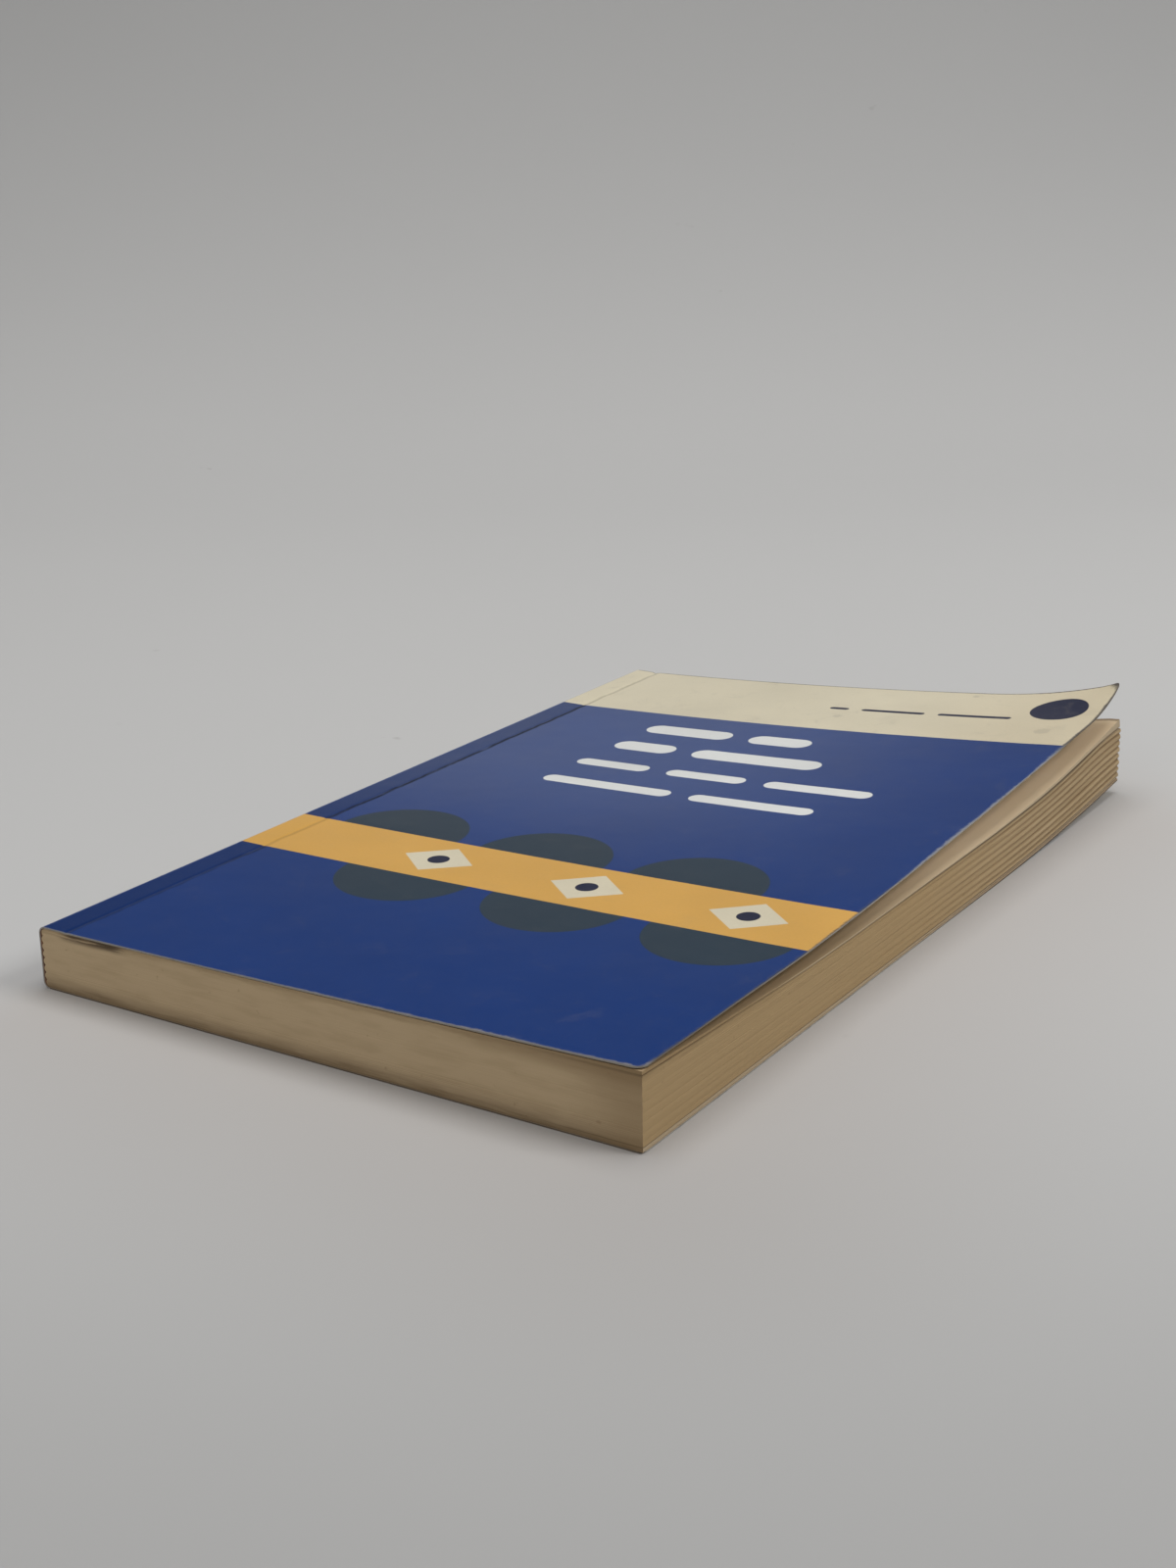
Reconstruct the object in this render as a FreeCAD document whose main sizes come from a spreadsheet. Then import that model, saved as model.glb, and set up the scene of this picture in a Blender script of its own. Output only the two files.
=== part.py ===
import FreeCAD, Part
import math
import os

import Sketcher

from FreeCAD import Vector

# A paperback lying on its back cover. X runs from the spine to the fore-edge, Y from the tail
# to the head and Z up. Every piece is drawn from the spine's foot at the tail and then placed so
# that the frame's origin is the middle of the footprint, on the table. Millimetres throughout.

os.makedirs("parts", exist_ok=True)
doc = FreeCAD.newDocument("Paperback")

SIZES = {
    "book_width": 135.0,
    "book_height": 216.0,
    "section_count": 8,
    "section_thickness": 1.5,
    "card_thickness": 0.3,
    "leaf_gap": 0.05,
    "score_inset": 7.0,
    "score_gap": 0.05,
    "fold_radius": 1.5,
    "glue_film": 0.25,
    "fold_depth": 0.45,
    "ridge_depth_tail": 0.2,
    "ridge_depth_head": 0.45,
    "ridge_unevenness": 0.2,
    "curl_width": 62.0,
    "curl_length": 76.0,
    "foot_lift": 3.2,
    "top_lift": 6.0,
    "fan_length": 64.0,
    "fan_lift": 2.35,
    "cover_rise_tail": 2.5,
    "cover_rise_head": 10.8,
    "cover_curl_start": 55.0,
    "cover_curl_power": 1.4,
    "cover_open_share": 0.55,
    "tip_rise": 3.6,
    "tip_width": 32.0,
    "tip_length": 20.0,
}

sheet = doc.addObject("Spreadsheet::Sheet", "Sizes")
for row, (name, value) in enumerate(SIZES.items(), start=1):
    sheet.set(f"A{row}", name)
    sheet.set(f"B{row}", str(value))
    sheet.setAlias(f"B{row}", name)
doc.recompute()


def size(name):
    return float(sheet.get(name))


width = size("book_width")
height = size("book_height")
sections = int(size("section_count"))
section = size("section_thickness")
card = size("card_thickness")
gap = size("leaf_gap")
fold = size("fold_radius")
hinge_x = size("score_inset") + size("score_gap")
bend_x = width - size("curl_width")
block_low = card + gap
block_high = block_low + sections * section
thickness = block_high + gap + card
SPINE_WIDTH = ("(Sizes.section_count * Sizes.section_thickness"
               " + 2 * Sizes.card_thickness + 2 * Sizes.leaf_gap)")


def share(value, start, length):
    """How far value has gone from start over length, held between 0 and 1."""
    return min(max((value - start) / length, 0.0), 1.0)


def place(piece):
    """Moves a finished piece from the spine's foot to the frame at the footprint's middle."""
    piece.setExpression("Placement.Base.x", "-Sizes.book_width / 2")
    piece.setExpression("Placement.Base.y", "-Sizes.book_height / 2")


def plain(name, shape):
    """An object that holds a profile or a curved sheet worked out from the sizes."""
    holder = doc.addObject("Part::Feature", name)
    holder.Shape = shape
    return holder


# The head's fore-edge corner of the block is curled: its underside and its top leave the flat
# along two parabolas, the top by more, so the leaves fan open there. At the tail the leaves fan
# up under the front cover and keep to its shape.


def head_curl(y):
    return share(y, height - size("curl_length"), size("curl_length")) ** 2


def tail_fan(y):
    return share(height - y, height - size("fan_length"), size("fan_length")) ** 2


def opening(x):
    """The front cover's rise at x as a share of its rise at the fore-edge."""
    reach = share(x, hinge_x, width - hinge_x)
    straight = size("cover_open_share")
    return straight * reach + (1 - straight) * reach ** 2


def foot_at(y):
    return block_low + size("foot_lift") * head_curl(y)


def top_at(x, y):
    curled = share(x, bend_x, size("curl_width")) ** 2
    lift = size("top_lift") * head_curl(y) * curled
    return block_high + lift + size("fan_lift") * tail_fan(y) * opening(x)


def flat_then_curl(flat_end, curled_end):
    """A parabola that leaves flat_end level and ends at curled_end."""
    middle = Vector((flat_end.x + curled_end.x) / 2, flat_end.y, flat_end.z)
    curve = Part.BezierCurve()
    curve.setPoles([flat_end, middle, curled_end])
    return curve.toShape()


def block_top(end_x, start_x, y):
    """The block's top from end_x back to start_x, a parabola through three of its points."""
    middle_x = (start_x + end_x) / 2
    ends_z = top_at(start_x, y) + top_at(end_x, y)
    pole_z = 2 * top_at(middle_x, y) - ends_z / 2
    curve = Part.BezierCurve()
    curve.setPoles([
        Vector(end_x, y, top_at(end_x, y)),
        Vector(middle_x, y, pole_z),
        Vector(start_x, y, top_at(start_x, y)),
    ])
    return curve.toShape()


def fore_edge_ridges(y):
    """The trimmed edge of each folded section, a shallow round ridge, from foot to top."""
    depth = size("ridge_depth_tail")
    depth += (size("ridge_depth_head") - depth) * y / height
    step = (top_at(width - depth, y) - foot_at(y)) / sections
    ridges = []
    for k in range(sections):
        low = Vector(width - depth, y, foot_at(y) + k * step)
        high = Vector(width - depth, y, foot_at(y) + (k + 1) * step)
        crest_inset = depth * size("ridge_unevenness") * (k % 3)
        crest = Vector(width - crest_inset, y, (low.z + high.z) / 2)
        ridges.append(Part.Arc(low, crest, high).toShape())
    return ridges


def section_backs(y):
    """The rounded backs of the folded sections at the spine, from top to foot."""
    crest_x = card + size("glue_film")
    valley_x = crest_x + size("fold_depth")
    corner_reach = (fold - card - size("glue_film")) * math.sqrt(0.5)
    backs = []
    for k in reversed(range(sections)):
        high = Vector(valley_x, y, block_low + (k + 1) * section)
        low = Vector(valley_x, y, block_low + k * section)
        crest = Vector(crest_x, y, (low.z + high.z) / 2)
        if k == sections - 1:
            high = Vector(fold, y, block_high)
            crest = Vector(fold - corner_reach, y, thickness - fold + corner_reach)
        if k == 0:
            low = Vector(fold, y, block_low)
            crest = Vector(fold - corner_reach, y, fold - corner_reach)
        backs.append(Part.Arc(high, crest, low).toShape())
    return backs


def block_outline(y):
    """The leaves' closed outline, cut square to the spine at a distance y from the tail."""
    spine_foot = Vector(fold, y, block_low)
    bend_foot = Vector(bend_x, y, block_low)
    spine_top = Vector(fold, y, block_high)
    score_top = Vector(hinge_x, y, block_high)
    ridges = fore_edge_ridges(y)
    edge_foot = ridges[0].firstVertex(True).Point
    edge_top = ridges[-1].lastVertex(True).Point
    edges = [Part.makeLine(spine_foot, bend_foot), flat_then_curl(bend_foot, edge_foot)]
    edges += ridges
    edges += [block_top(edge_top.x, bend_x, y), block_top(bend_x, hinge_x, y)]
    edges.append(Part.makeLine(score_top, spine_top))
    edges.append(Part.makeLine(spine_top, spine_foot))
    return Part.Wire(edges)


def along_book(name, outline):
    """A face at the tail, bound by outline, drawn out to the head."""
    end = plain(f"{name}End", Part.Face(outline))
    run = doc.addObject("Part::Extrusion", name)
    run.Base = end
    run.DirMode = "Custom"
    run.Dir = Vector(0, 1, 0)
    run.setExpression("LengthFwd", "Sizes.book_height")
    return run


# The page block, one solid. Its leaves are lofted through outlines that stand closer together
# where they bend, and the section backs run straight along the spine.

flat_steps = 3
fan_steps = 3
curl_steps = 5
fan_end = size("fan_length")
curl_start = height - size("curl_length")
stations = [fan_end * k / fan_steps for k in range(fan_steps)]
stations += [fan_end + (curl_start - fan_end) * k / flat_steps for k in range(flat_steps)]
stations += [curl_start + size("curl_length") * k / curl_steps for k in range(curl_steps + 1)]

leaves = doc.addObject("Part::Loft", "Leaves")
leaves.Sections = [plain(f"LeavesAt{k}", block_outline(y)) for k, y in enumerate(stations)]
leaves.Solid = True
leaves.Ruled = False

backs_closed = section_backs(0)
backs_closed.append(Part.makeLine(Vector(fold, 0, block_low), Vector(fold, 0, block_high)))
backs = along_book("SectionBacks", Part.Wire(backs_closed))

page_block = doc.addObject("Part::MultiFuse", "PageBlock")
page_block.Shapes = [leaves, backs]
page_block.Refine = True
page_block.Label = "page_block"
place(page_block)


# The spine piece: one folded card, the spine panel and the two strips glued to the block.

spine_cover = doc.addObject("PartDesign::Body", "SpineCover")
spine_cover.Label = "spine_cover"
spine_end = spine_cover.newObject("Sketcher::SketchObject", "SpineEnd")
end_plane = [p for p in spine_cover.Origin.OriginFeatures if p.Role == "XZ_Plane"][0]
spine_end.AttachmentSupport = (end_plane, [""])
spine_end.MapMode = "FlatFace"
corners = [
    Vector(0, 0, 0),
    Vector(size("score_inset"), 0, 0),
    Vector(size("score_inset"), thickness, 0),
    Vector(0, thickness, 0),
]
for start, end in zip(corners, corners[1:] + corners[:1]):
    spine_end.addGeometry(Part.LineSegment(start, end), False)
foot_line, score_line, top_line, back_line = range(4)
for line in range(4):
    spine_end.addConstraint(Sketcher.Constraint("Coincident", line, 2, (line + 1) % 4, 1))
for line in (foot_line, top_line):
    spine_end.addConstraint(Sketcher.Constraint("Horizontal", line))
for line in (score_line, back_line):
    spine_end.addConstraint(Sketcher.Constraint("Vertical", line))
origin_point = (-1, 1)
spine_end.addConstraint(Sketcher.Constraint("Coincident", foot_line, 1, *origin_point))
inset = spine_end.addConstraint(
    Sketcher.Constraint("DistanceX", foot_line, 1, foot_line, 2, size("score_inset"))
)
rise = spine_end.addConstraint(
    Sketcher.Constraint("DistanceY", score_line, 1, score_line, 2, thickness)
)
spine_end.setExpression(f"Constraints[{inset}]", "Sizes.score_inset")
spine_end.setExpression(f"Constraints[{rise}]", SPINE_WIDTH)

spine_pad = spine_cover.newObject("PartDesign::Pad", "SpinePad")
spine_pad.Profile = spine_end
spine_pad.Reversed = True
spine_pad.setExpression("Length", "Sizes.book_height")
doc.recompute()


def edges_at_spine(shape):
    """The two long edges where the card folds round the spine."""
    names = []
    for k, edge in enumerate(shape.Edges, start=1):
        box = edge.BoundBox
        if box.XMax < gap and box.YLength > section:
            names.append(f"Edge{k}")
    return names


def open_faces(shape):
    """The face at the score and the two ends, which the folded card leaves open."""
    names = []
    for k, face in enumerate(shape.Faces, start=1):
        box = face.BoundBox
        at_score = box.XMin > size("score_inset") - gap
        if at_score or box.YLength < gap:
            names.append(f"Face{k}")
    return names


spine_folds = spine_cover.newObject("PartDesign::Fillet", "SpineFolds")
spine_folds.Base = (spine_pad, edges_at_spine(spine_pad.Shape))
spine_folds.setExpression("Radius", "Sizes.fold_radius")
doc.recompute()

spine_card = spine_cover.newObject("PartDesign::Thickness", "SpineCard")
spine_card.Base = (spine_folds, open_faces(spine_folds.Shape))
spine_card.Reversed = True
spine_card.setExpression("Value", "Sizes.card_thickness")
spine_cover.Tip = spine_card
place(spine_cover)
doc.recompute()


# The glue that fills the furrows between the section backs and holds them to the card.


def glue_outline():
    """From the inside of the folded card to the backs of the sections, at the tail."""
    inner = fold - card
    slant = inner * math.sqrt(0.5)
    low_start = Vector(fold, 0, card)
    low_middle = Vector(fold - slant, 0, fold - slant)
    low_end = Vector(card, 0, fold)
    high_start = Vector(card, 0, thickness - fold)
    high_middle = Vector(fold - slant, 0, thickness - fold + slant)
    high_end = Vector(fold, 0, thickness - card)
    edges = [
        Part.Arc(low_start, low_middle, low_end).toShape(),
        Part.makeLine(low_end, high_start),
        Part.Arc(high_start, high_middle, high_end).toShape(),
        Part.makeLine(high_end, Vector(fold, 0, block_high)),
    ]
    edges += section_backs(0)
    edges.append(Part.makeLine(Vector(fold, 0, block_low), low_start))
    return Part.Wire(edges)


spine_glue = along_book("SpineGlue", glue_outline())
spine_glue.Label = "spine_glue"
place(spine_glue)


# The front cover: card that has sprung open at its score, more towards the head, with its
# fore-edge drawn in by the bend and its head corner turned up at the tip.


def cover_rise(y):
    along = share(y, size("cover_curl_start"), height - size("cover_curl_start"))
    spread = size("cover_rise_head") - size("cover_rise_tail")
    return size("cover_rise_tail") + spread * along ** size("cover_curl_power")


def cover_underside(reach, y):
    """A point of the front cover's underside, reach being 0 at the score and 1 at the edge."""
    panel = width - hinge_x
    x = hinge_x + panel * reach
    rise = cover_rise(y) * opening(x)
    tip_across = share(x, width - size("tip_width"), size("tip_width"))
    tip_along = share(y, height - size("tip_length"), size("tip_length"))
    rise += size("tip_rise") * tip_across ** 2 * tip_along ** 2
    drawn_in = rise ** 2 / (2 * panel) * reach
    return Vector(x - drawn_in, y, thickness - card + rise)


across = 16
along = 27
grid = [
    [cover_underside(j / across, height * k / along) for j in range(across + 1)]
    for k in range(along + 1)
]
cover_surface = Part.BSplineSurface()
cover_surface.interpolate(grid)
cover_sheet = plain("FrontCoverUnderside", cover_surface.toShape())
front_cover = doc.addObject("Part::Extrusion", "FrontCover")
front_cover.Base = cover_sheet
front_cover.DirMode = "Custom"
front_cover.Dir = Vector(0, 0, 1)
front_cover.setExpression("LengthFwd", "Sizes.card_thickness")
front_cover.Label = "front_cover"
place(front_cover)


# The back cover: flat card on the table, with the corner that follows the curled block. The
# corner is a patch of three by three poles whose last pole alone is raised.

long_panel = doc.addObject("Part::Box", "BackPanelLong")
long_panel.setExpression("Length", "Sizes.book_width - Sizes.score_inset - Sizes.score_gap")
long_panel.setExpression("Width", "Sizes.book_height - Sizes.curl_length")
long_panel.setExpression("Height", "Sizes.card_thickness")
long_panel.setExpression("Placement.Base.x", "Sizes.score_inset + Sizes.score_gap")

head_panel = doc.addObject("Part::Box", "BackPanelHead")
head_panel.setExpression(
    "Length", "Sizes.book_width - Sizes.curl_width - Sizes.score_inset - Sizes.score_gap"
)
head_panel.setExpression("Width", "Sizes.curl_length")
head_panel.setExpression("Height", "Sizes.card_thickness")
head_panel.setExpression("Placement.Base.x", "Sizes.score_inset + Sizes.score_gap")
head_panel.setExpression("Placement.Base.y", "Sizes.book_height - Sizes.curl_length")

patch = Part.BezierSurface()
patch.increase(2, 2)
for i in range(3):
    for j in range(3):
        x = bend_x + size("curl_width") * i / 2
        y = height - size("curl_length") * (1 - j / 2)
        lift = size("foot_lift") if i == 2 and j == 2 else 0.0
        patch.setPole(i + 1, j + 1, Vector(x, y, lift))
corner_sheet = plain("BackCornerUnderside", patch.toShape())
back_corner = doc.addObject("Part::Extrusion", "BackCorner")
back_corner.Base = corner_sheet
back_corner.DirMode = "Custom"
back_corner.Dir = Vector(0, 0, 1)
back_corner.setExpression("LengthFwd", "Sizes.card_thickness")

back_cover = doc.addObject("Part::MultiFuse", "BackCover")
back_cover.Shapes = [long_panel, head_panel, back_corner]
back_cover.Refine = True
back_cover.Label = "back_cover"
place(back_cover)
doc.recompute()

pieces = [page_block, spine_glue, spine_cover, front_cover, back_cover]
for item in doc.Objects:
    if "Invalid" in item.State or "Error" in item.State:
        raise RuntimeError(f"{item.Label} failed: {item.State}")
for piece in pieces:
    if piece.Shape.isNull() or not piece.Shape.isValid() or len(piece.Shape.Solids) != 1:
        raise RuntimeError(f"{piece.Label} is not one valid solid")
for piece in pieces:
    piece.Shape.exportStep(f"parts/{piece.Label}.step")
    box = piece.Shape.BoundBox
    print(f"{piece.Label}: {piece.Shape.Volume:.1f} mm3, "
          f"{box.XLength:.2f} x {box.YLength:.2f} x {box.ZLength:.2f} mm")
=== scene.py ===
import bpy
import bmesh
import math
import random
from mathutils import Matrix, Vector


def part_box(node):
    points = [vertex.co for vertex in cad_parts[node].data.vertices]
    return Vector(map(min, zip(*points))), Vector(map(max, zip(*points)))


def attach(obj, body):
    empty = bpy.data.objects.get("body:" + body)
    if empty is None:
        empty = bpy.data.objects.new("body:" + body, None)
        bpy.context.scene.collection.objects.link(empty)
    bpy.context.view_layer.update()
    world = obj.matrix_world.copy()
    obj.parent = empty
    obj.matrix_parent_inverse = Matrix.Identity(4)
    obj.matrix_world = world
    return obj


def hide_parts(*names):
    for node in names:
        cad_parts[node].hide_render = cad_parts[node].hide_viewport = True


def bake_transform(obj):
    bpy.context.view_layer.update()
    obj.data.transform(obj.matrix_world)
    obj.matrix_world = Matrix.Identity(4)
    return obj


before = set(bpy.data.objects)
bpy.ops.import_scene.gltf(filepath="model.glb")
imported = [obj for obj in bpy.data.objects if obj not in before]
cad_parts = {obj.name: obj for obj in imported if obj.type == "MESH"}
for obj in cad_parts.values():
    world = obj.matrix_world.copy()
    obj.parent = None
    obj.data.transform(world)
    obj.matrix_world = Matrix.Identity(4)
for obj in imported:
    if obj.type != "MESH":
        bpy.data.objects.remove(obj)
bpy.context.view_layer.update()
print("frame loaded:", sorted(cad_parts))

# Lengths below are millimetres from the spine's foot at the tail: across to the fore-edge,
# along to the head, and up. The frame's own boxes give the book's main sizes.
toMm = 1000.0
blockLowest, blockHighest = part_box("page_block")
spineLowest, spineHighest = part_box("spine_cover")
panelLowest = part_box("front_cover")[0]
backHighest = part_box("back_cover")[1]
print("page block in the frame, metres:", tuple(blockLowest), tuple(blockHighest))

book = {
    "width": (backHighest.x - spineLowest.x) * toMm,
    "height": (spineHighest.y - spineLowest.y) * toMm,
    "thickness": spineHighest.z * toMm,
    "card": 0.3,
    "leafGap": 0.05,
    "sections": 8,
    "leavesInSection": 16,
    "fold": 1.5,  # radius of the spine's folds
    "score": (panelLowest.x - spineLowest.x) * toMm,  # where a cover turns
    "curlWidth": 62.0,
    "curlLength": 76.0,
}
width = book["width"]
height = book["height"]
thickness = book["thickness"]
card = book["card"]
blockLow = card + book["leafGap"]
blockHigh = thickness - blockLow
leafCount = book["sections"] * book["leavesInSection"]


def share(value, start, length):
    return min(max((value - start) / length, 0.0), 1.0)


def inFrame(x, y, z):
    return Vector((x - width / 2, y - height / 2, z)) / toMm


def smooth(t):
    return t * t * (3 - 2 * t)


# Even steps from each mark to the next, as many as its count.
def stepsThrough(marks, counts):
    steps = [marks[0]]
    for start, end, count in zip(marks, marks[1:], counts):
        steps += [start + (end - start) * k / count for k in range(1, count + 1)]
    return steps


# Seeded waves for slow changes along an edge.
def wobble(seed, count=4):
    dice = random.Random(seed)
    waves = [(dice.uniform(0.5, 1.0), dice.uniform(1, 9), dice.uniform(0, 6.28)) for _ in range(count)]
    total = sum(w[0] for w in waves)

    def at(t):
        return sum(size * math.sin(rate * t + phase) for size, rate, phase in waves) / total

    return at


# Faces between rows of points, with their map and material.
def addGrid(bm, uvLayer, rows, uvs, materialIndex, flip=False):
    verts = [[bm.verts.new(p) for p in row] for row in rows]
    for i in range(len(rows) - 1):
        for j in range(len(rows[0]) - 1):
            ring = [(i, j), (i, j + 1), (i + 1, j + 1), (i + 1, j)]
            if flip:
                ring.reverse()
            face = bm.faces.new([verts[a][b] for a, b in ring])
            face.material_index = materialIndex
            face.smooth = True
            for loop, (a, b) in zip(face.loops, ring):
                loop[uvLayer].uv = uvs[a][b]
    return verts


def finishMesh(name, bm, materials, sharpAngle=35.0):
    bmesh.ops.remove_doubles(bm, verts=bm.verts, dist=2e-7)
    bmesh.ops.recalc_face_normals(bm, faces=bm.faces)
    sharpest = math.radians(sharpAngle)
    for edge in bm.edges:
        if len(edge.link_faces) == 2:
            differ = edge.link_faces[0].material_index != edge.link_faces[1].material_index
            edge.smooth = not differ and edge.calc_face_angle(0.0) < sharpest
    mesh = bpy.data.meshes.new(name)
    bm.to_mesh(mesh)
    bm.free()
    for material in materials:
        mesh.materials.append(material)
    piece = bpy.data.objects.new(name, mesh)
    bpy.context.scene.collection.objects.link(piece)
    return piece


# The block's bend: its head corner at the fore-edge lifts, the top by more than the foot, and
# at the tail its top rises under the cover.
blockShape = {
    "footLift": 3.2,
    "topLift": 6.0,
    "fanLength": 64.0,
    "fanLift": 2.35,
    "fanPower": 1.7,
    "openShare": 0.55,  # how straight the cover opens, out from its score
    "glueFilm": 0.25,
    "foldDepth": 0.45,
    "ridgeTail": 0.04,
    "ridgeHead": 0.46,
    "leafJitter": (0.004, 0.055),  # at the tail and at the head
    "endJitter": 0.005,
    "leafFurrow": 0.12,  # a share of a leaf, beside each neighbour
    "trim": 0.05,  # the leaves' fore-edge, in from the cover's
    "ridgesAlong": (75.0, 115.0),  # where the ridges begin, and over what length they grow
    "ridgeWave": (0.10, 40.0),
    "partedAlong": (20.0, 110.0),
    "partedTop": 125,  # the leaf under which the top ones part
    "partedFoot": 7,
    "partedDepth": 0.5,
    "partedShare": 0.14,  # of the loose leaves' spread, taken by the dark gap under them
    # Their spread at the fore-edge: in the middle, more at the tail, near the head, at its corner.
    "partedRise": (0.30, 0.55, 0.25, 1.7),
    "rollOff": 0.40,  # how far the top leaves droop at their fore-edge
    "rollWidth": 3.5,
    "rollAlong": (30.0, 45.0),  # from the tail: where it starts, and over what length it grows
    "spreadTail": 45.0,
    "spreadNearHead": (150.0, 30.0),
    "spreadCorner": (196.0, 20.0),
    "spreadReach": 30.0,  # in from the fore-edge
}
panel = width - book["score"]


def opening(x):
    reach = share(x, book["score"], panel)
    return blockShape["openShare"] * reach + (1 - blockShape["openShare"]) * reach ** 2


def across(x):
    return share(x, width - book["curlWidth"], book["curlWidth"]) ** 2


def headCurl(y):
    return share(y, height - book["curlLength"], book["curlLength"]) ** 2


def tailFan(y):
    length = blockShape["fanLength"]
    return share(height - y, height - length, length) ** blockShape["fanPower"]


def footAt(x, y):
    return blockLow + blockShape["footLift"] * headCurl(y) * across(x)


def topAt(x, y):
    lift = blockShape["topLift"] * headCurl(y) * across(x)
    return blockHigh + lift + blockShape["fanLift"] * tailFan(y) * opening(x)


# Node helpers: each takes sockets or plain numbers and returns the socket of its result.

def startMaterial(name):
    material = bpy.data.materials.new(name)
    material.use_nodes = True
    tree = material.node_tree
    shader = tree.nodes["Principled BSDF"]
    return material, tree, shader


def feed(tree, socket, value):
    if isinstance(value, bpy.types.NodeSocket):
        tree.links.new(value, socket)
    elif isinstance(value, (tuple, list)) and len(value) == 3 and socket.type == "RGBA":
        socket.default_value = (*value, 1.0)
    else:
        socket.default_value = value


def maths(tree, operation, first, second=None, third=None, clamp=False):
    node = tree.nodes.new("ShaderNodeMath")
    node.operation = operation
    node.use_clamp = clamp
    for socket, value in zip(node.inputs, (first, second, third)):
        if value is not None:
            feed(tree, socket, value)
    return node.outputs[0]


def plus(tree, first, second):
    return maths(tree, "ADD", first, second)


def minus(tree, first, second):
    return maths(tree, "SUBTRACT", first, second)


def times(tree, first, second):
    return maths(tree, "MULTIPLY", first, second)


def scale(tree, value, factor, offset):
    return maths(tree, "MULTIPLY_ADD", value, factor, offset)


def larger(tree, first, second):
    return maths(tree, "MAXIMUM", first, second)


def smaller(tree, first, second):
    return maths(tree, "MINIMUM", first, second)


def absolute(tree, value):
    return maths(tree, "ABSOLUTE", value)


def distance(tree, du, dv):
    return maths(tree, "SQRT", plus(tree, times(tree, du, du), times(tree, dv, dv)))


def blend(tree, factor, under, over, mode="MIX"):
    node = tree.nodes.new("ShaderNodeMix")
    node.data_type = "RGBA"
    node.blend_type = mode
    feed(tree, node.inputs["Factor"], factor)
    feed(tree, node.inputs[6], under)
    feed(tree, node.inputs[7], over)
    return node.outputs[2]


def combine(tree, x, y, z=0.0):
    node = tree.nodes.new("ShaderNodeCombineXYZ")
    for socket, value in zip(node.inputs, (x, y, z)):
        feed(tree, socket, value)
    return node.outputs[0]


# Darkens a colour by a plain shade.
def dim(tree, colour, shade):
    return blend(tree, 1.0, colour, combine(tree, shade, shade, shade), "MULTIPLY")


def noise(tree, vector, size, detail=3.0, roughness=0.5, distortion=0.0):
    node = tree.nodes.new("ShaderNodeTexNoise")
    feed(tree, node.inputs["Vector"], vector)
    node.inputs["Scale"].default_value = size
    node.inputs["Detail"].default_value = detail
    node.inputs["Roughness"].default_value = roughness
    node.inputs["Distortion"].default_value = distortion
    return node.outputs["Fac"]


def ramp(tree, value, low, high, toLow=0.0, toHigh=1.0):
    node = tree.nodes.new("ShaderNodeMapRange")
    node.interpolation_type = "SMOOTHSTEP"
    feed(tree, node.inputs["Value"], value)
    feed(tree, node.inputs["From Min"], low)
    feed(tree, node.inputs["From Max"], high)
    node.inputs["To Min"].default_value = toLow
    node.inputs["To Max"].default_value = toHigh
    return node.outputs["Result"]


# A mask weakened by a ramp.
def fade(tree, mask, value, *limits):
    return times(tree, mask, ramp(tree, value, *limits))


# Patches where a noise passes its limits.
def patches(tree, place, texture, *limits):
    return ramp(tree, noise(tree, place, *texture), *limits)


# Nought before rise, one from full to last, nought again after end.
def plateau(tree, value, rise, full, last, end):
    return smaller(tree, ramp(tree, value, rise, full), ramp(tree, value, last, end))


def bump(tree, heightSocket, strength, depth, under=None):
    node = tree.nodes.new("ShaderNodeBump")
    node.inputs["Strength"].default_value = strength
    node.inputs["Distance"].default_value = depth
    feed(tree, node.inputs["Height"], heightSocket)
    if under is not None:
        feed(tree, node.inputs["Normal"], under)
    return node.outputs["Normal"]


# Colour, roughness and relief of a plain surface, the last two from one texture.
def dress(tree, shader, colour, texture, rough, relief):
    feed(tree, shader.inputs["Base Color"], colour)
    feed(tree, shader.inputs["Roughness"], scale(tree, texture, *rough))
    feed(tree, shader.inputs["Normal"], bump(tree, texture, *relief))


# Colour, roughness and relief of fibrous paper or card. Every pair is a factor and an offset.
def dressFibres(tree, shader, place, colour, look):
    fibres = noise(tree, place, *look["fibres"])
    colour = dim(tree, colour, scale(tree, fibres, *look["shade"]))
    dress(tree, shader, colour, fibres, look["roughness"], look["relief"])


# A sheet yellowed from its free edges inwards, with spots.
def yellowed(tree, place, u, v, look):
    nearEdge = smaller(tree, smaller(tree, v, minus(tree, height, v)), minus(tree, width, u))
    ragged = scale(tree, noise(tree, place, *look["ragged"]), *look["raggedReach"])
    toned = ramp(tree, minus(tree, nearEdge, ragged), *look["toning"])
    colour = blend(tree, toned, look["paper"], look["edge"])
    return blend(tree, patches(tree, place, *look["foxing"]), colour, look["edge"])


# Card and paper coordinates in millimetres, from the mesh's own map.
def flatPlace(tree):
    uvNode = tree.nodes.new("ShaderNodeUVMap")
    uvNode.uv_map = "millimetres"
    split = tree.nodes.new("ShaderNodeSeparateXYZ")
    tree.links.new(uvNode.outputs[0], split.inputs[0])
    return uvNode.outputs[0], split.outputs[0], split.outputs[1]


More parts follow.
